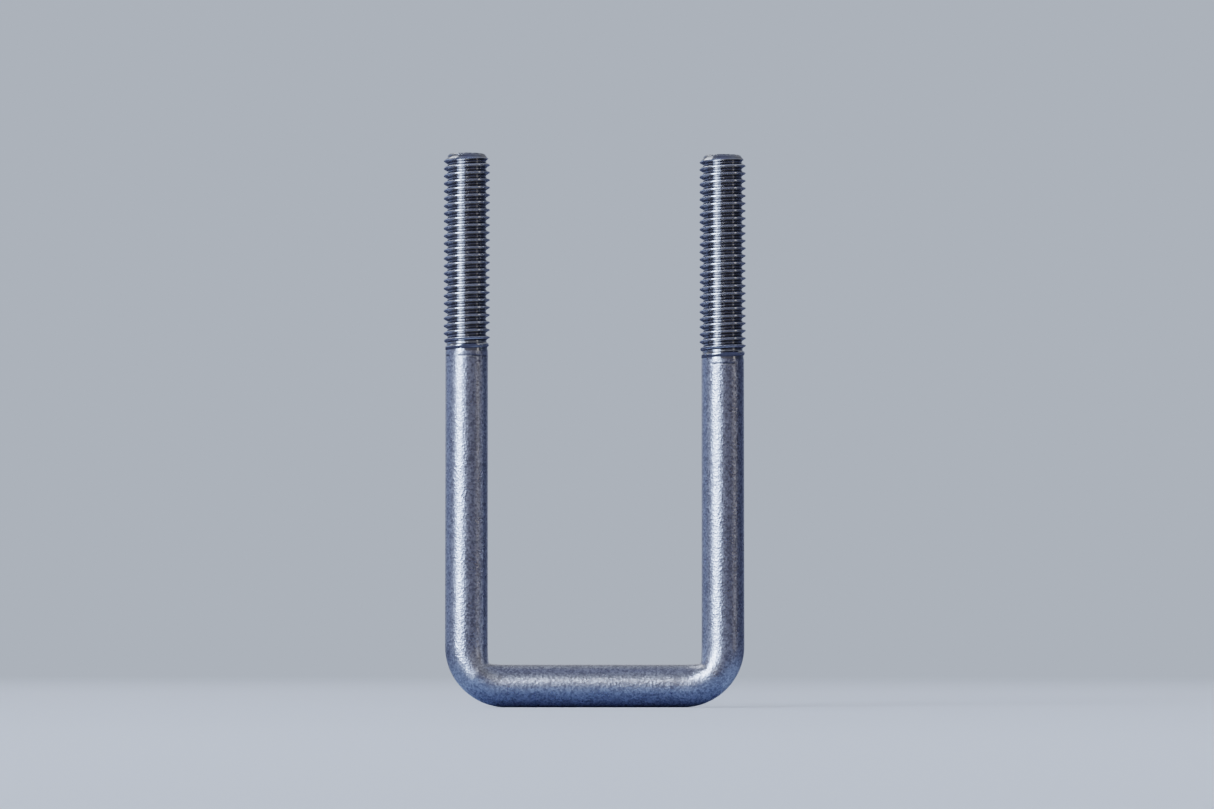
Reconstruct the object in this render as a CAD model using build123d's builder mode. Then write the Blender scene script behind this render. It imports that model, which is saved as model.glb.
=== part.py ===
"""Square-cornered U-bolt: one M8 rod, bent twice, with a thread rolled on each end.

Millimetres. X runs across the legs, Y through the thickness and Z up the legs.
The origin is the middle of the seat, which is the inner face of the crossbar.
"""

from build123d import *
from math import ceil, cos, radians, sin, tan
import os

os.makedirs("parts", exist_ok=True)

# Rod and overall size
ROD_DIAMETER = 7.1  # plain rod, before its ends are rolled up to the thread
INNER_WIDTH = 35.5  # clear width between the plain legs
LEFT_TIP_Z = 85.0  # height of each tip above the seat
RIGHT_TIP_Z = 84.75

# Bends: one arc outside, pressed to a tight corner inside
OUTER_BEND_RADIUS = 10.2
CORNER_THICKNESS = 6.0  # in the plane of the U, where the rod is squashed most
CORNER_WIDTH = 7.7  # through the thickness of the U at the same place

# M8 x 1.25 rolled thread, right-handed
PITCH = 1.25
CREST_DIAMETER = 7.9
ROOT_DIAMETER = 6.47
FLANK_ANGLE = 30.0
CREST_FLAT = 0.21
CREST_RISE = 1.6  # length over which the crest grows out of the plain rod
ROOT_FALL = 2.5  # length over which the root sinks to its full depth
TIP_CHAMFER = 1.1
TIP_FACE_DIAMETER = 5.9

# Thread run-out, ring mark and groove place, each measured down from the tip
LEFT_THREAD = {"run_out": 33.0, "ring": 33.8, "groove": 1.2}
RIGHT_THREAD = {"run_out": 34.1, "ring": 34.9, "groove": 1.1}

ROD_RADIUS = ROD_DIAMETER / 2
CREST_RADIUS = CREST_DIAMETER / 2
ROOT_RADIUS = ROOT_DIAMETER / 2
LEG_X = (INNER_WIDTH + ROD_DIAMETER) / 2
INNER_OFFSET = OUTER_BEND_RADIUS - ROD_DIAMETER  # arc centre to both inner faces
BEND_X = INNER_WIDTH / 2 - INNER_OFFSET
BEND_Z = INNER_OFFSET
CORNER_ANGLE = 45.0
SECTION_ANGLES = (0.0, 15.0, 30.0, CORNER_ANGLE)
EMBED = 0.15  # how far the crest's blank starts inside the core
GROOVE_OVERCUT = 0.15  # how far the groove's cutter stands out of the crest


def bend_section(side, angle, from_crossbar):
    """Squashed section of a bend, at an angle from the straight length it grows out of."""
    corner = (1 / cos(radians(angle)) - 1) / (1 / cos(radians(CORNER_ANGLE)) - 1)
    thickness = ROD_DIAMETER - (ROD_DIAMETER - CORNER_THICKNESS) * corner
    width = ROD_DIAMETER + (CORNER_WIDTH - ROD_DIAMETER) * corner
    turn = radians(90 - angle if from_crossbar else angle)
    outward = Vector(side * cos(turn), 0, -sin(turn))
    along = Vector(-side * sin(turn), 0, -cos(turn))
    plane = Plane(origin=(side * BEND_X, 0, BEND_Z), x_dir=outward, z_dir=along)
    with BuildSketch(plane) as section:
        with Locations((OUTER_BEND_RADIUS - thickness / 2, 0)):
            Ellipse(thickness / 2, width / 2)
    return section.sketch


def round_section(plane):
    with BuildSketch(plane) as section:
        Circle(ROD_RADIUS)
    return section.sketch


def threaded_end(label, leg_x, tip_z, thread):
    """Threaded end of one leg, from its tip down to the ring mark below the run-out."""
    run_out_z = tip_z - thread["run_out"]
    ring_z = tip_z - thread["ring"]
    axis = Axis((leg_x, 0, 0), (0, 0, 1))
    section = Plane(origin=(leg_x, 0, 0), x_dir=(1, 0, 0), z_dir=(0, -1, 0))
    blank_z = run_out_z - EMBED * CREST_RISE / (CREST_RADIUS - ROD_RADIUS)
    cutter_depth = CREST_RADIUS + GROOVE_OVERCUT - ROOT_RADIUS
    half_outer = (PITCH - CREST_FLAT) / 2 + GROOVE_OVERCUT * tan(radians(FLANK_ANGLE))
    half_root = half_outer - cutter_depth * tan(radians(FLANK_ANGLE))
    highest_groove_z = tip_z - thread["groove"] + 2 * PITCH
    turns = ceil((highest_groove_z - blank_z) / PITCH) + 1
    lowest_groove_z = highest_groove_z - turns * PITCH

    # Cutter: one turn of the groove, a V with a flat root
    with BuildPart() as cutter:
        with BuildLine():
            helix = Helix(PITCH, PITCH, ROOT_RADIUS, center=(leg_x, 0, lowest_groove_z))
        with BuildSketch(Plane(origin=helix @ 0, x_dir=(1, 0, 0), z_dir=helix % 0)):
            Polygon(
                (0, -half_root),
                (cutter_depth, -half_outer),
                (cutter_depth, half_outer),
                (0, half_root),
                align=None,
            )
        sweep(path=helix, is_frenet=True)

    with BuildPart() as end:
        # Crest: a bar that rises out of the rod, with the chamfer at its tip
        with BuildSketch(section):
            Polygon(
                (0, blank_z),
                (ROD_RADIUS - EMBED, blank_z),
                (CREST_RADIUS, run_out_z + CREST_RISE),
                (CREST_RADIUS, tip_z - TIP_CHAMFER),
                (TIP_FACE_DIAMETER / 2, tip_z),
                (0, tip_z),
                align=None,
            )
        revolve(axis=axis)

        # Groove: cut turn by turn, from below the run-out to past the tip
        with Locations([(0, 0, turn * PITCH) for turn in range(turns)]):
            add(cutter.part, mode=Mode.SUBTRACT)

        # Core: fills the groove towards the plain rod, so that the thread runs out
        with BuildSketch(section):
            Polygon(
                (0, ring_z),
                (ROD_RADIUS, ring_z),
                (ROD_RADIUS, run_out_z),
                (ROOT_RADIUS - EMBED, run_out_z + ROOT_FALL),
                (0, run_out_z + ROOT_FALL),
                align=None,
            )
        revolve(axis=axis)

    end.part.label = label
    export_step(end.part, f"parts/{label}.step")


# Bent bar: the crossbar, both bends and the plain length of both legs
with BuildPart() as bent_bar:
    crossbar_end = Plane(origin=(-BEND_X, 0, -ROD_RADIUS), z_dir=(1, 0, 0))
    extrude(round_section(crossbar_end), amount=2 * BEND_X)
    for side, leg_top in ((-1, LEFT_TIP_Z - LEFT_THREAD["ring"]), (1, RIGHT_TIP_Z - RIGHT_THREAD["ring"])):
        for from_crossbar in (False, True):
            loft([bend_section(side, angle, from_crossbar) for angle in SECTION_ANGLES])
        leg_foot = Plane(origin=(side * LEG_X, 0, BEND_Z), z_dir=(0, 0, 1))
        extrude(round_section(leg_foot), amount=leg_top - BEND_Z)
bent_bar.part.label = "bent_bar"
export_step(bent_bar.part, "parts/bent_bar.step")

threaded_end("left_threaded_end", -LEG_X, LEFT_TIP_Z, LEFT_THREAD)
threaded_end("right_threaded_end", LEG_X, RIGHT_TIP_Z, RIGHT_THREAD)
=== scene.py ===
"""Looks of the square-cornered U-bolt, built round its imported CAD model.

Lengths are in millimetres, and MM turns them into Blender's metres.
"""

import math

import bpy
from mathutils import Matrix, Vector, noise


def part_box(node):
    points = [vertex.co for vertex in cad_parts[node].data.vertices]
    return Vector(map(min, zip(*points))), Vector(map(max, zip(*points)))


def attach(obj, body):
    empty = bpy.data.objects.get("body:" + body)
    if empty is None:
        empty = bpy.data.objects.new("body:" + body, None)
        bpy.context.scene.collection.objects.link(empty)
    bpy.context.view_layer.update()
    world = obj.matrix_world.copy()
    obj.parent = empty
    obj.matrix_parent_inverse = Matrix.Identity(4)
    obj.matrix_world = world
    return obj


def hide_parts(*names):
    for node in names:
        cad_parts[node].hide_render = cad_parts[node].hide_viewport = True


MM = 0.001

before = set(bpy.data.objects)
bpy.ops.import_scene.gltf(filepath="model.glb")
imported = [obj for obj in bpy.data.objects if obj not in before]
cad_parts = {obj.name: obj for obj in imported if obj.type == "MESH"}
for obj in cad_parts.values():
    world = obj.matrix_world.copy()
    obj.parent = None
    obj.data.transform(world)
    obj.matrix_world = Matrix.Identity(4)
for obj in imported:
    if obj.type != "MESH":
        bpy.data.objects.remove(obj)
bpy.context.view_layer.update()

# The rod, as in the CAD model
ROD_RADIUS = 3.55
OUTER_BEND_RADIUS = 10.2
CORNER_THICKNESS = 6.0
CORNER_WIDTH = 7.7
CORNER_ANGLE = 45  # degrees into a bend, where its corner is
CORNER_ROUNDING = 3.0  # degrees over which the inside of a bend turns its corner

# The rolled M8 x 1.25 thread
PITCH = 1.25
CREST_RADIUS = 3.88
ROOT_RADIUS = 3.235
CREST_HALF_WIDTH = 0.105
FLANK_SLOPE = 1 / math.tan(math.radians(30))
CREST_ROUNDING = 0.04
ROOT_ROUNDING = 0.14
LIMIT_ROUNDING = 0.07
CREST_RISE = 2.6
ROOT_FALL = 2.5
TIP_CHAMFER = 1.1
TIP_FACE_RADIUS = 2.95
TIP_EDGE = 0.08
TIP_ROUGHNESS = 0.12
TIP_FINISH_DEPTH = 0.4  # how far down from the tip its sheared finish reaches
TIP_FINISH_FADE = 0.2
TIP_RINGS_RADIUS = TIP_FACE_RADIUS + 0.02
# Rings across each tip face: part of TIP_RINGS_RADIUS, and how far each has risen from the rim
TIP_RINGS = ((0.985, 0.6), (0.96, 1.0), (0.85, 1.0), (0.7, 1.0), (0.5, 1.0), (0.3, 1.0), (0.12, 1.0))
LEFT_THREAD = {"run_out": 33.0, "groove": 1.2}
RIGHT_THREAD = {"run_out": 34.1, "groove": 1.1}

# The marks that the rolling dies left round the rod, just below each thread
# Each ring is so far below the run-out, and the higher its second number, the less broken it is
RINGS = ((0.8, 0.5), (1.75, -0.3))
RING_DEPTH = 0.05
RING_HALF_WIDTH = 0.15

# Unevenness of the surfaces
BAR_WAVE = 0.006
THREAD_WAVE = 0.012

# Mesh densities
ROUND_STEPS = 96
BAR_STEP = 0.7
MARK_STEP = 0.07
MARK_LENGTH = 2.4
BEND_STEPS = 45
# Heights above a crest's middle at which the thread's profile is sampled, up to half a pitch
PROFILE_STATIONS = (0.055, 0.1, 0.145, 0.22, 0.33, 0.43, 0.49, 0.555)
END_ROWS = 14
END_ROOM = 0.6
LEVEL = 0.02  # two heights nearer than this count as level
SHARP_ANGLE = 50  # degrees between two faces, past which their edge stays sharp
HALVES_APART = 200.0  # sets the streaks of the two halves of the bar apart, with a seam at its middle
SETTLE_LENGTH = 0.4  # the unevenness dies away over this length, so that bar and thread meet cleanly

bar_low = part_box("bent_bar")[0] / MM
LEG_X = sum(corner.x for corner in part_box("right_threaded_end")) / 2 / MM
FLOOR_Z = bar_low.z


# Meshes

def smooth_min(a, b, width):
    """The lower of two numbers, rounded where they cross."""
    near = max(width - abs(a - b), 0.0) / width
    return min(a, b) - near * near * width / 4


def smooth_max(a, b, width):
    return -smooth_min(-a, -b, width)


def between(low, high, count):
    """Evenly spaced numbers above low and below high."""
    return [low + (high - low) * i / count for i in range(1, count)]


def make_piece(name, vertices, faces, material, node, notes):
    """A smooth mesh in the row frame that stands for a CAD node.

    Notes are attributes for the material to read: a number or a vector at each vertex.
    """
    mesh = bpy.data.meshes.new(name)
    mesh.from_pydata([vertex * MM for vertex in vertices], [], faces)
    for title, values in notes.items():
        is_number = isinstance(values[0], float)
        note = mesh.attributes.new(title, "FLOAT" if is_number else "FLOAT_VECTOR", "POINT")
        flat = values if is_number else [number for value in values for number in value]
        note.data.foreach_set("value" if is_number else "vector", flat)
    for polygon in mesh.polygons:
        polygon.use_smooth = True
    mesh.set_sharp_from_angle(angle=math.radians(SHARP_ANGLE))
    mesh.materials.append(material)
    piece = bpy.data.objects.new(name, mesh)
    bpy.context.scene.collection.objects.link(piece)
    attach(piece, "root")
    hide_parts(node)
    return piece


def bar_stations(side, top):
    """Sections of one half of the U, from the thread down to the middle of the crossbar.

    Each has its centre, its outward direction, half its thickness and width, the power that
    flattens its inner side, and its distance from the thread.
    """
    inner_offset = OUTER_BEND_RADIUS - 2 * ROD_RADIUS
    arc_centre = Vector((side * (LEG_X - ROD_RADIUS - inner_offset), 0, inner_offset))
    marked_foot = top - MARK_LENGTH
    marked_count = round(MARK_LENGTH / MARK_STEP)
    plain_count = math.ceil((marked_foot - arc_centre.z) / BAR_STEP)
    heights = [top, *reversed(between(marked_foot, top, marked_count)), marked_foot]
    heights += reversed(between(arc_centre.z, marked_foot, plain_count))
    stations = []
    for z in heights:
        centre = Vector((side * LEG_X, 0, z))
        stations.append((centre, Vector((side, 0, 0)), ROD_RADIUS, ROD_RADIUS, 1.0, top - z))
    full_squash = 1 / math.cos(math.radians(CORNER_ANGLE)) - 1
    for i in range(BEND_STEPS + 1):
        angle = 90 * i / BEND_STEPS
        into_bend = max(CORNER_ANGLE - math.hypot(angle - CORNER_ANGLE, CORNER_ROUNDING), 0)
        squash = (1 / math.cos(math.radians(into_bend)) - 1) / full_squash
        half_thickness = ROD_RADIUS - (ROD_RADIUS - CORNER_THICKNESS / 2) * squash
        half_width = ROD_RADIUS + (CORNER_WIDTH / 2 - ROD_RADIUS) * squash
        turn = math.radians(angle)
        outward = Vector((side * math.cos(turn), 0, -math.sin(turn)))
        centre = arc_centre + outward * (OUTER_BEND_RADIUS - half_thickness)
        along = top - arc_centre.z + turn * (OUTER_BEND_RADIUS - ROD_RADIUS)
        stations.append((centre, outward, half_thickness, half_width, 1.0 - 0.3 * squash, along))
    bar_count = math.ceil(abs(arc_centre.x) / BAR_STEP)
    for i in range(1, bar_count + 1):
        centre = Vector((arc_centre.x * (1 - i / bar_count), 0, -ROD_RADIUS))
        further = along + abs(arc_centre.x - centre.x)
        stations.append((centre, Vector((0, 0, -1)), ROD_RADIUS, ROD_RADIUS, 1.0, further))
    return stations


def ring_mark(side, turn, below_thread):
    """How strongly a rolling-die ring marks the rod at a place below the thread, from 0 to 1."""
    strength = 0.0
    for ring, (below, wholeness) in enumerate(RINGS):
        around = Vector((math.cos(turn), math.sin(turn), side * 3.0 + ring * 7.0))
        bite = noise.fractal(around * 2.2, 0.6, 2.0, 3) * 1.3 + wholeness
        wander = noise.noise(around * 1.5 + Vector((0, 0, 5))) * 0.06
        away = (below_thread - below - wander) / RING_HALF_WIDTH
        strength += min(max(bite, 0.0), 1.0) * math.exp(-away * away)
    return min(strength, 1.0)


def bar_ring(side, station, vertices, places, marks):
    """Adds one ring of the bar, with where each vertex is along and round the rod."""
    centre, outward, half_thickness, half_width, inner_power, along = station
    near_thread = min(along / SETTLE_LENGTH, 1.0)
    for i in range(ROUND_STEPS):
        turn = 2 * math.pi * i / ROUND_STEPS
        toward, across = math.cos(turn), math.sin(turn)
        power = 1.0 if toward > 0 else inner_power
        reach = math.copysign(abs(toward) ** power, toward) * half_thickness
        spoke = outward * reach + Vector((0, across * half_width, 0))
        mark = ring_mark(side, turn, along)
        wave = noise.fractal((centre + spoke) * 0.3, 0.7, 2.0, 3) * BAR_WAVE * near_thread
        dent = min(wave, 0.0) - RING_DEPTH * mark
        vertices.append(centre + spoke * (1 + dent / spoke.length))
        places.append(Vector((toward * ROD_RADIUS, across * ROD_RADIUS, side * (along - HALVES_APART))))
        marks.append(mark)


def bar_skin(material):
    """The crossbar, both bends and the plain legs up to the threads, as one closed skin."""
    tops = []
    for node, thread in (("left_threaded_end", LEFT_THREAD), ("right_threaded_end", RIGHT_THREAD)):
        tops.append(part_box(node)[1].z / MM - thread["run_out"])
    stations = [(-1, station) for station in bar_stations(-1, tops[0])]
    stations += [(1, station) for station in bar_stations(1, tops[1])[-2::-1]]
    vertices, places, marks, faces = [], [], [], []
    for side, station in stations:
        bar_ring(side, station, vertices, places, marks)
    for row in range(len(stations) - 1):
        for i in range(ROUND_STEPS):
            k = (i + 1) % ROUND_STEPS
            base, above = row * ROUND_STEPS, (row + 1) * ROUND_STEPS
            faces.append((base + i, above + i, above + k, base + k))
    faces.append(tuple(range(ROUND_STEPS)))
    faces.append(tuple(reversed(range(len(vertices) - ROUND_STEPS, len(vertices)))))
    notes = {"rod": places, "mark": marks}
    return make_piece("bar_skin", vertices, faces, material, "bent_bar", notes)


def thread_radius(turn, z, tip_z, run_out_z, crest_z):
    """Radius of a threaded end at a place on it."""
    above_run_out = z - run_out_z
    if above_run_out <= 0:
        return ROD_RADIUS
    along = (z - crest_z) / PITCH - turn
    from_crest = abs(along - round(along)) * PITCH
    flank = CREST_RADIUS - (from_crest - CREST_HALF_WIDTH) * FLANK_SLOPE
    radius = smooth_min(flank, CREST_RADIUS, CREST_ROUNDING)
    radius = smooth_max(radius, ROOT_RADIUS, ROOT_ROUNDING)
    crest_limit = ROD_RADIUS + (CREST_RADIUS - ROD_RADIUS) * above_run_out / CREST_RISE
    root_limit = ROD_RADIUS + (ROOT_RADIUS - ROD_RADIUS) * above_run_out / ROOT_FALL
    chamfer = TIP_FACE_RADIUS + (CREST_RADIUS - TIP_FACE_RADIUS) * (tip_z - z) / TIP_CHAMFER
    radius = smooth_min(radius, crest_limit, LIMIT_ROUNDING)
    radius = smooth_max(radius, root_limit, LIMIT_ROUNDING)
    return smooth_min(radius, chamfer, LIMIT_ROUNDING)


def stitch(left, right, vertices):
    """Faces between two upright rows of vertices: quads where they are level, else triangles."""
    faces = []
    i = k = 0
    while i + 1 < len(left) or k + 1 < len(right):
        left_up = vertices[left[i + 1]].z if i + 1 < len(left) else math.inf
        right_up = vertices[right[k + 1]].z if k + 1 < len(right) else math.inf
        if abs(left_up - right_up) < LEVEL:
            faces.append((left[i], right[k], right[k + 1], left[i + 1]))
            i, k = i + 1, k + 1
        elif left_up < right_up:
            faces.append((left[i], right[k], left[i + 1]))
            i += 1
        else:
            faces.append((left[i], right[k], right[k + 1]))
            k += 1
    return faces


def threaded_end(name, node, side, thread, material):
    """A threaded end. Its rows climb with the helix and level out at the foot and the tip."""
    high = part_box(node)[1].z / MM
    low = high - thread["run_out"]
    crest_z = high - thread["groove"] + PITCH / 2
    offsets = [0.0, *PROFILE_STATIONS, PITCH / 2]
    offsets += [PITCH - station for station in reversed(PROFILE_STATIONS)]
    first = math.ceil((low + END_ROOM - crest_z) / PITCH)
    last = math.floor((high - END_ROOM - crest_z) / PITCH)
    rim_z = high - TIP_EDGE
    vertices, columns = [], []
    for i in range(ROUND_STEPS):
        turn = i / ROUND_STEPS
        turns = last if i == 0 else last - 1
        rows = [crest_z + PITCH * (n + turn) + s for n in range(first, turns) for s in offsets]
        rows.append(crest_z + PITCH * (turns + turn))
        levels = [low, *between(low, rows[0], END_ROWS), *rows]
        levels += [*between(rows[-1], rim_z, END_ROWS), rim_z]
        columns.append(range(len(vertices), len(vertices) + len(levels)))
        outward = Vector((math.cos(2 * math.pi * turn), math.sin(2 * math.pi * turn), 0))
        for z in levels:
            radius = thread_radius(turn, z, high, low, crest_z)
            wave = noise.fractal(outward * radius * 0.6 + Vector((side * 20, 0, z * 0.6)), 0.7, 2.0, 3)
            radius += min(wave, 0.0) * THREAD_WAVE * min((z - low) / SETTLE_LENGTH, 1.0)
            vertices.append(outward * radius + Vector((side * LEG_X, 0, z)))
    faces = []
    for i in range(ROUND_STEPS):
        faces += stitch(columns[i], columns[(i + 1) % ROUND_STEPS], vertices)
    faces.append(tuple(column[0] for column in reversed(columns)))
    rim = [column[-1] for column in columns]
    for inset, rise in TIP_RINGS:
        ring = []
        for i in range(ROUND_STEPS):
            angle = 2 * math.pi * i / ROUND_STEPS
            radius = TIP_RINGS_RADIUS * inset
            place = Vector((radius * math.cos(angle), radius * math.sin(angle), 0))
            rough = noise.noise(place * 2.0 + Vector((side * 9.0, 0, 0))) * TIP_ROUGHNESS
            drop = TIP_EDGE * (1 - rise) + max(rough, 0) * rise
            ring.append(len(vertices))
            vertices.append(place + Vector((side * LEG_X, 0, high - drop)))
        for i in range(ROUND_STEPS):
            k = (i + 1) % ROUND_STEPS
            faces.append((rim[i], rim[k], ring[k], ring[i]))
        rim = ring
    faces.append(tuple(rim))
    finish = [(vertex.z - high + TIP_FINISH_DEPTH) / TIP_FINISH_FADE for vertex in vertices]
    notes = {"tip": [min(max(strength, 0.0), 1.0) for strength in finish]}
    return make_piece(name, vertices, faces, material, node, notes)


# Node trees

def add_node(tree, kind, inputs=None, **settings):
    """A shader node. Inputs are given by name or number, as plain values or as sockets to link."""
    made = tree.nodes.new("ShaderNode" + kind)
    for key, value in settings.items():
        setattr(made, key, value)
    for key, value in (inputs or {}).items():
        if isinstance(value, bpy.types.NodeSocket):
            tree.links.new(value, made.inputs[key])
        else:
            made.inputs[key].default_value = value
    return made


def maths(tree, operation, a, b=0.0):
    return add_node(tree, "Math", {0: a, 1: b}, operation=operation).outputs[0]


def ramp_up(tree, value, low, high, start=0.0, end=1.0):
    """A soft step of a value from low to high, as a number from start to end."""
    inputs = {"Value": value, "From Min": low, "From Max": high, "To Min": start, "To Max": end}
    return add_node(tree, "MapRange", inputs, interpolation_type="SMOOTHSTEP").outputs[0]


def noise_of(tree, position, scale, detail=2.0, roughness=0.5):
    """Noise from 0 to 1, with a scale in features per millimetre."""
    inputs = {"Vector": position, "Scale": scale, "Detail": detail, "Roughness": roughness}
    return add_node(tree, "TexNoise", inputs).outputs["Fac"]


def mixed(tree, factor, a, b):
    """Colour b over colour a."""
    inputs = {0: factor, 6: a, 7: b}  # where a Mix node keeps its factor and its two colours
    return add_node(tree, "Mix", inputs, data_type="RGBA").outputs[2]


# Colours of the steel, its roughness, and the depth of its grain

ROD_DARKER, ROD_LIGHTER = (0.72, 0.72, 0.75, 1), (0.81, 0.81, 0.84, 1)
ROD_FLECK = (0.30, 0.29, 0.31, 1)
ROD_STREAK = (0.40, 0.40, 0.42, 1)
ROD_DENT = (0.22, 0.205, 0.23, 1)
ROD_PIT = (0.16, 0.15, 0.16, 1)
ROD_MARK = (0.07, 0.065, 0.07, 1)
ROD_ROUGHNESS = (0.27, 0.31)
ROD_GRAIN = 0.075  # millimetres

THREAD_DARKER, THREAD_LIGHTER = (0.76, 0.755, 0.75, 1), (0.84, 0.83, 0.82, 1)
THREAD_LINE = (0.38, 0.37, 0.37, 1)
# Painted shade: the dark colour that the thread's grooves are painted towards their roots
THREAD_GROOVE_SHADE = (0.21, 0.205, 0.21, 1)
THREAD_ROUGHNESS = (0.10, 0.15)
# Radii between which the painted shade in the grooves thins out to nothing
GROOVE_SHADE_FULL, GROOVE_SHADE_GONE = ROOT_RADIUS + 0.15, ROOT_RADIUS + 0.58
TIP_DARKER, TIP_LIGHTER = (0.20, 0.19, 0.19, 1), (0.66, 0.65, 0.64, 1)


def new_steel(name):
    """An empty metal material, and the place on the piece in millimetres."""
    material = bpy.data.materials.new(name)
    material.use_nodes = True
    tree = material.node_tree
    shader = tree.nodes["Principled BSDF"]
    shader.inputs["Metallic"].default_value = 1.0
    place = add_node(tree, "TexCoord").outputs["Object"]
    place = add_node(tree, "VectorMath", {0: place, "Scale": 1 / MM}, operation="SCALE").outputs[0]
    return material, tree, shader, place


def tumbled_steel():
    """Plain rod: tumbled with grit, so that fine dents and pits break up what it mirrors."""
    material, tree, shader, place = new_steel("tumbled_steel")
    along_rod = add_node(tree, "Attribute", attribute_name="rod").outputs["Vector"]
    along_rod = add_node(tree, "VectorMath", {0: along_rod, 1: (1, 1, 0.05)}, operation="MULTIPLY")
    streaks = noise_of(tree, along_rod.outputs[0], 2.6, 2.0, 0.6)
    marks = add_node(tree, "Attribute", attribute_name="mark").outputs["Fac"]
    grain = noise_of(tree, place, 2.6, 2.0, 0.55)
    dents = add_node(tree, "TexVoronoi", {"Vector": place, "Scale": 3.2})
    flecks = noise_of(tree, place, 3.1, 1.0)
    patches = noise_of(tree, place, 0.45, 3.0, 0.6)
    pits = ramp_up(tree, noise_of(tree, place, 2.3, 1.0), 0.60, 0.70)
    tone = mixed(tree, ramp_up(tree, patches, 0.3, 0.7), ROD_DARKER, ROD_LIGHTER)
    tone = mixed(tree, ramp_up(tree, flecks, 0.35, 0.65, 0.0, 0.4), tone, ROD_FLECK)
    tone = mixed(tree, ramp_up(tree, streaks, 0.52, 0.72, 0.0, 0.15), tone, ROD_STREAK)
    dent_tone = add_node(tree, "SeparateXYZ", {0: dents.outputs["Color"]}).outputs[0]
    tone = mixed(tree, ramp_up(tree, dent_tone, 0.35, 0.85, 0.0, 0.55), tone, ROD_DENT)
    tone = mixed(tree, maths(tree, "MULTIPLY", pits, 0.25), tone, ROD_PIT)
    tone = mixed(tree, maths(tree, "MULTIPLY", marks, 0.85), tone, ROD_MARK)
    tree.links.new(tone, shader.inputs["Base Color"])
    gloss = ramp_up(tree, patches, 0.3, 0.7, *ROD_ROUGHNESS)
    gloss = maths(tree, "ADD", gloss, maths(tree, "MULTIPLY", marks, 0.2))
    tree.links.new(gloss, shader.inputs["Roughness"])
    height = maths(tree, "MULTIPLY", grain, 0.4)
    height = maths(tree, "ADD", height, maths(tree, "MULTIPLY", dents.outputs["Distance"], 0.35))
    height = maths(tree, "SUBTRACT", height, maths(tree, "MULTIPLY", pits, 0.06))
    bump = add_node(tree, "Bump", {"Height": height, "Strength": 1.0, "Distance": ROD_GRAIN * MM})
    tree.links.new(bump.outputs[0], shader.inputs["Normal"])
    return material


def rolled_thread_steel():
    """Thread: burnished by the rolling dies, with painted shade darkening its grooves and a rough
    sheared tip.
    """
    material, tree, shader, place = new_steel("rolled_thread_steel")
    axes = add_node(tree, "SeparateXYZ", {0: place})
    across = maths(tree, "SUBTRACT", maths(tree, "ABSOLUTE", axes.outputs[0]), LEG_X)
    radius = add_node(tree, "CombineXYZ", {0: across, 1: axes.outputs[1]}).outputs[0]
    radius = add_node(tree, "VectorMath", {0: radius}, operation="LENGTH").outputs["Value"]
    depth = ramp_up(tree, radius, GROOVE_SHADE_FULL, GROOVE_SHADE_GONE, 1.0, 0.0)
    tip = add_node(tree, "Attribute", attribute_name="tip").outputs["Fac"]
    patches = noise_of(tree, place, 0.8, 3.0, 0.6)
    grain = noise_of(tree, place, 3.0, 3.0, 0.6)
    flat_place = add_node(tree, "VectorMath", {0: place, 1: (0.3, 0.3, 3.0)}, operation="MULTIPLY")
    rolled_lines = noise_of(tree, flat_place.outputs[0], 2.2, 2.0, 0.6)
    tone = mixed(tree, patches, THREAD_DARKER, THREAD_LIGHTER)
    tone = mixed(tree, ramp_up(tree, rolled_lines, 0.45, 0.7, 0.0, 0.35), tone, THREAD_LINE)
    # Painted shade: the base colour darkens towards the roots of the thread's grooves, in patches, and
    # not on the sheared tip
    groove_shade = maths(tree, "MULTIPLY", depth, ramp_up(tree, patches, 0.25, 0.7, 0.65, 0.9))
    groove_shade = maths(tree, "MULTIPLY", groove_shade, maths(tree, "SUBTRACT", 1.0, tip))
    tone = mixed(tree, groove_shade, tone, THREAD_GROOVE_SHADE)
    mottled = mixed(tree, ramp_up(tree, grain, 0.4, 0.62), TIP_DARKER, TIP_LIGHTER)
    tone = mixed(tree, maths(tree, "MULTIPLY", tip, 0.85), tone, mottled)
    tree.links.new(tone, shader.inputs["Base Color"])
    gloss = ramp_up(tree, patches, 0.25, 0.75, *THREAD_ROUGHNESS)
    gloss = maths(tree, "ADD", gloss, maths(tree, "MULTIPLY", tip, 0.14))
    tree.links.new(gloss, shader.inputs["Roughness"])
    coarseness = maths(tree, "ADD", maths(tree, "MULTIPLY", tip, 0.08), 0.001)
    height = maths(tree, "MULTIPLY", grain, coarseness)
    height = maths(tree, "ADD", height, maths(tree, "MULTIPLY", rolled_lines, 0.002))
    bump = add_node(tree, "Bump", {"Height": height, "Strength": 1.0, "Distance": MM})
    tree.links.new(bump.outputs[0], shader.inputs["Normal"])
    return material


tumbled = tumbled_steel()
rolled = rolled_thread_steel()
bar_skin(tumbled)
threaded_end("left_thread", "left_threaded_end", -1, LEFT_THREAD, rolled)
threaded_end("right_thread", "right_threaded_end", 1, RIGHT_THREAD, rolled)


# Camera: just above the crossbar's height, a long way off, square to the U but for a small upward tilt

CAMERA_DISTANCE = 900.0
CAMERA_Z = FLOOR_Z + 9.0
VIEW_WIDTH = 201.7  # what the picture's width takes in at the bolt
AIM_X = 2.04
AIM_Z = 43.2
SENSOR_WIDTH = 36.0
CLIP_START, CLIP_END = 0.01, 100.0  # metres


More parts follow.
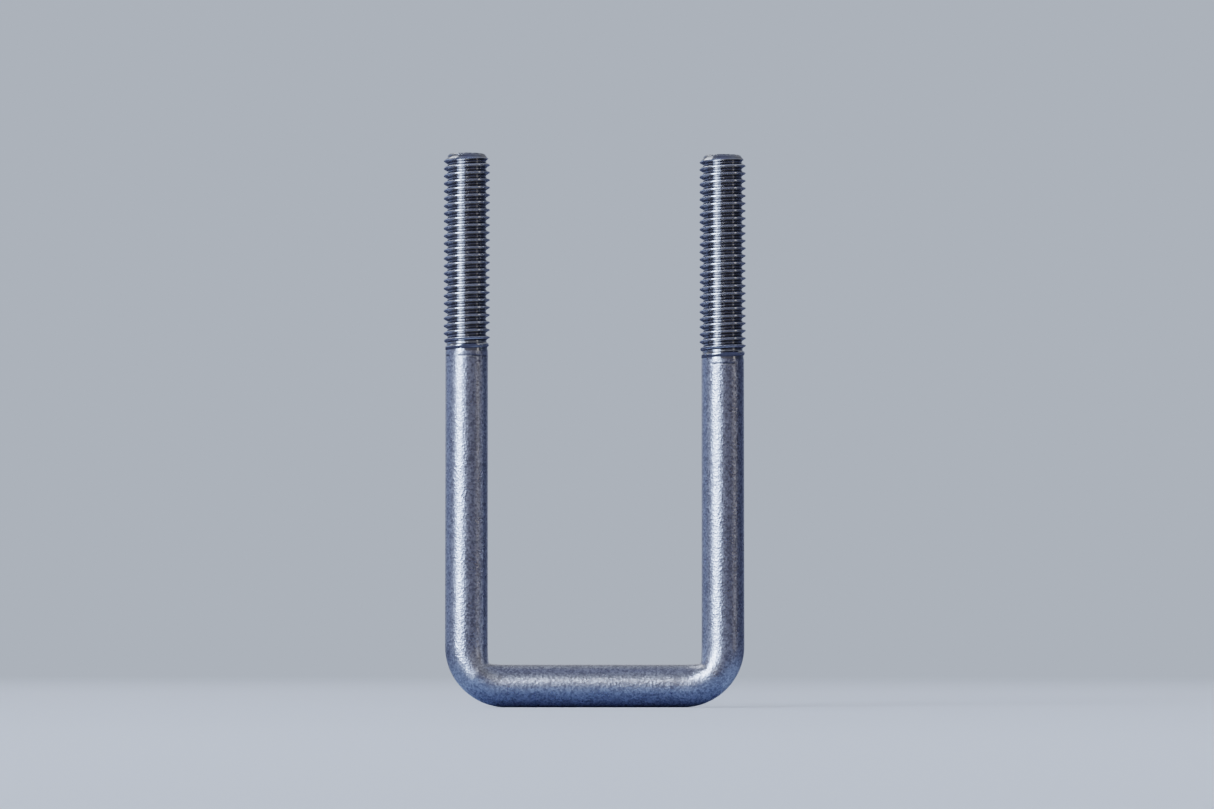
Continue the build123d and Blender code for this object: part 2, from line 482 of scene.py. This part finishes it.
def make_camera():
    data = bpy.data.cameras.new("camera")
    data.sensor_width = SENSOR_WIDTH
    data.lens = SENSOR_WIDTH * CAMERA_DISTANCE / VIEW_WIDTH
    data.clip_start, data.clip_end = CLIP_START, CLIP_END
    camera = bpy.data.objects.new("camera", data)
    bpy.context.scene.collection.objects.link(camera)
    camera.location = Vector((AIM_X, -CAMERA_DISTANCE, CAMERA_Z)) * MM
    aim = Vector((AIM_X, 0, AIM_Z)) * MM - camera.location
    camera.rotation_mode = "QUATERNION"
    camera.rotation_quaternion = aim.to_track_quat("-Z", "Y")
    bpy.context.scene.camera = camera


make_camera()


# Floor and light

# Only the camera's own rays see the backdrop, the floor's plain colour and its glow. Every other ray
# meets another room and floor, mostly darker and bluish, fitted to bring the steel near the photo.
LIGHT_DISTANCE = 3000.0
FLOOR_RADIUS = 20000.0
FLOOR_SIDES = 64
BACKDROP = (0.40, 0.45, 0.53, 1)
FLOOR_SEEN = (0.80, 0.80, 0.80, 1)
FLOOR_GLOW = (0.135, 0.143, 0.15, 1)
FLOOR_FADE = (0.25, 1.4)  # metres from the bolt between which the camera's floor turns into the backdrop

# The floor as every ray but the camera's sees it, by millimetres from the line on which the bolt stands:
# near-black at the bolt's foot, a painted shadow, then a paler blue band, and darker again further off
FLOOR_MIRRORED = (
    (0, (0.05, 0.07, 0.13)),
    (5, (0.23, 0.30, 0.46)),
    (12, (0.42, 0.52, 0.72)),
    (32, (0.32, 0.38, 0.51)),
    (70, (0.18, 0.19, 0.25)),
    (100, (0.15, 0.165, 0.23)),
)
MIRRORED_REACH = FLOOR_MIRRORED[-1][0]
FOOT_HALF_LENGTH = 15.0  # about half of the straight length on which the bolt stands


def soft_light(name, azimuth, elevation, width, height, brightness, color):
    """A soft box aimed at the bolt, with its angles and its apparent width and height in degrees.

    Azimuth 0 is at the camera and 90 to its right.
    """
    data = bpy.data.lights.new(name, "AREA")
    data.shape = "RECTANGLE"
    data.size = 2 * LIGHT_DISTANCE * MM * math.tan(math.radians(width / 2))
    data.size_y = 2 * LIGHT_DISTANCE * MM * math.tan(math.radians(height / 2))
    data.energy = brightness * math.pi * data.size * data.size_y
    data.color = color
    light = bpy.data.objects.new(name, data)
    bpy.context.scene.collection.objects.link(light)
    turn, rise = math.radians(azimuth), math.radians(elevation)
    back = Vector((math.sin(turn) * math.cos(rise), -math.cos(turn) * math.cos(rise), math.sin(rise)))
    light.location = (Vector((0, 0, AIM_Z)) + back * LIGHT_DISTANCE) * MM
    light.rotation_mode = "QUATERNION"
    light.rotation_quaternion = (-back).to_track_quat("-Z", "Y")


def ramp_of(tree, value, stops):
    """A colour ramp over a value from 0 to 1."""
    made = add_node(tree, "ValToRGB", {"Fac": value})
    elements = made.color_ramp.elements
    made.color_ramp.interpolation = "EASE"
    while len(elements) < len(stops):
        elements.new(0.5)
    for element, (position, color) in zip(elements, stops):
        element.position = position
        element.color = (*color, 1)
    return made.outputs["Color"]


def make_floor():
    mesh = bpy.data.meshes.new("floor")
    angles = [2 * math.pi * i / FLOOR_SIDES for i in range(FLOOR_SIDES)]
    rim = [(math.cos(angle), math.sin(angle)) for angle in angles]
    corners = [Vector((x * FLOOR_RADIUS, y * FLOOR_RADIUS, FLOOR_Z)) * MM for x, y in rim]
    mesh.from_pydata(corners, [], [tuple(range(len(corners)))])
    floor = bpy.data.objects.new("floor", mesh)
    bpy.context.scene.collection.objects.link(floor)
    material = bpy.data.materials.new("floor")
    material.use_nodes = True
    tree = material.node_tree
    shader = tree.nodes["Principled BSDF"]
    to_camera = add_node(tree, "LightPath").outputs["Is Camera Ray"]
    place = add_node(tree, "TexCoord").outputs["Object"]
    axes = add_node(tree, "SeparateXYZ", {0: place})
    beyond = maths(tree, "SUBTRACT", maths(tree, "ABSOLUTE", axes.outputs[0]), FOOT_HALF_LENGTH * MM)
    beyond = maths(tree, "MAXIMUM", beyond, 0.0)
    away = add_node(tree, "CombineXYZ", {0: beyond, 1: axes.outputs[1]}).outputs[0]
    away = add_node(tree, "VectorMath", {0: away}, operation="LENGTH").outputs["Value"]
    # A painted shadow: the floor that every ray but the camera's sees is darkest right by the bolt
    stops = [(distance / MIRRORED_REACH, color) for distance, color in FLOOR_MIRRORED]
    mirrored = ramp_of(tree, maths(tree, "MULTIPLY", away, 1 / (MIRRORED_REACH * MM)), stops)
    faded = ramp_up(tree, away, *FLOOR_FADE)
    seen = mixed(tree, faded, FLOOR_SEEN, (0, 0, 0, 1))
    tree.links.new(mixed(tree, to_camera, mirrored, seen), shader.inputs["Base Color"])
    tree.links.new(mixed(tree, faded, FLOOR_GLOW, BACKDROP), shader.inputs["Emission Color"])
    tree.links.new(to_camera, shader.inputs["Emission Strength"])
    shader.inputs["Specular IOR Level"].default_value = 0.0
    shader.inputs["Roughness"].default_value = 0.95
    mesh.materials.append(material)


# The room as every ray but the camera's sees it: by azimuth low down, and by elevation higher up
ROOM_ROUND = (
    (-180, (0.62, 0.66, 0.74)),
    (-160, (0.38, 0.43, 0.54)),
    (-140, (0.27, 0.33, 0.48)),
    (-112, (0.28, 0.38, 0.66)),
    (-92, (0.25, 0.30, 0.45)),
    (-62, (0.31, 0.36, 0.52)),
    (-14, (0.17, 0.175, 0.225)),
    (50, (0.12, 0.125, 0.160)),
    (88, (0.060, 0.070, 0.100)),
    (108, (0.050, 0.065, 0.115)),
    (140, (0.100, 0.125, 0.195)),
    (160, (0.30, 0.34, 0.43)),
    (180, (0.62, 0.66, 0.74)),
)
ROOM_BLEND = (18, 32)  # elevations between which ROOM_ROUND gives way to ROOM_UP
ROOM_UP = (
    (0, (0.03, 0.035, 0.055)),
    (35, (0.24, 0.26, 0.30)),
    (60, (0.19, 0.22, 0.30)),
    (90, (0.15, 0.18, 0.30)),
)


def make_world():
    world = bpy.data.worlds.new("studio")
    bpy.context.scene.world = world
    world.use_nodes = True
    tree = world.node_tree
    background = tree.nodes["Background"]
    direction = add_node(tree, "TexCoord").outputs["Generated"]
    axes = add_node(tree, "SeparateXYZ", {0: direction})
    turn = maths(tree, "ARCTAN2", axes.outputs[0], maths(tree, "MULTIPLY", axes.outputs[1], -1.0))
    turn = maths(tree, "ADD", maths(tree, "DIVIDE", turn, 2 * math.pi), 0.5)
    rise = maths(tree, "DIVIDE", maths(tree, "ARCSINE", axes.outputs[2]), math.pi / 2)
    around = ramp_of(tree, turn, [((azimuth + 180) / 360, color) for azimuth, color in ROOM_ROUND])
    overhead = ramp_of(tree, rise, [(elevation / 90, color) for elevation, color in ROOM_UP])
    higher_up = ramp_up(tree, rise, ROOM_BLEND[0] / 90, ROOM_BLEND[1] / 90)
    room = mixed(tree, higher_up, around, overhead)
    to_camera = add_node(tree, "LightPath").outputs["Is Camera Ray"]
    tree.links.new(mixed(tree, to_camera, room, BACKDROP), background.inputs["Color"])


make_floor()
soft_light("window", -37, 12, 44, 58, 3.4, (0.56, 0.71, 1.0))
soft_light("window_core", -40, 12, 15, 58, 5.5, (0.72, 0.84, 1.0))
soft_light("ceiling_strip", -18, 29, 50, 4, 3.4, (0.86, 0.92, 1.0))
soft_light("lamp", 66, 8, 10, 26, 0.6, (1.0, 0.97, 0.93))
soft_light("back_light", -140, 50, 34, 26, 1.2, (0.84, 0.91, 1.0))
make_world()
bpy.context.scene.view_settings.view_transform = "Filmic"
bpy.context.scene.view_settings.look = "Medium High Contrast"
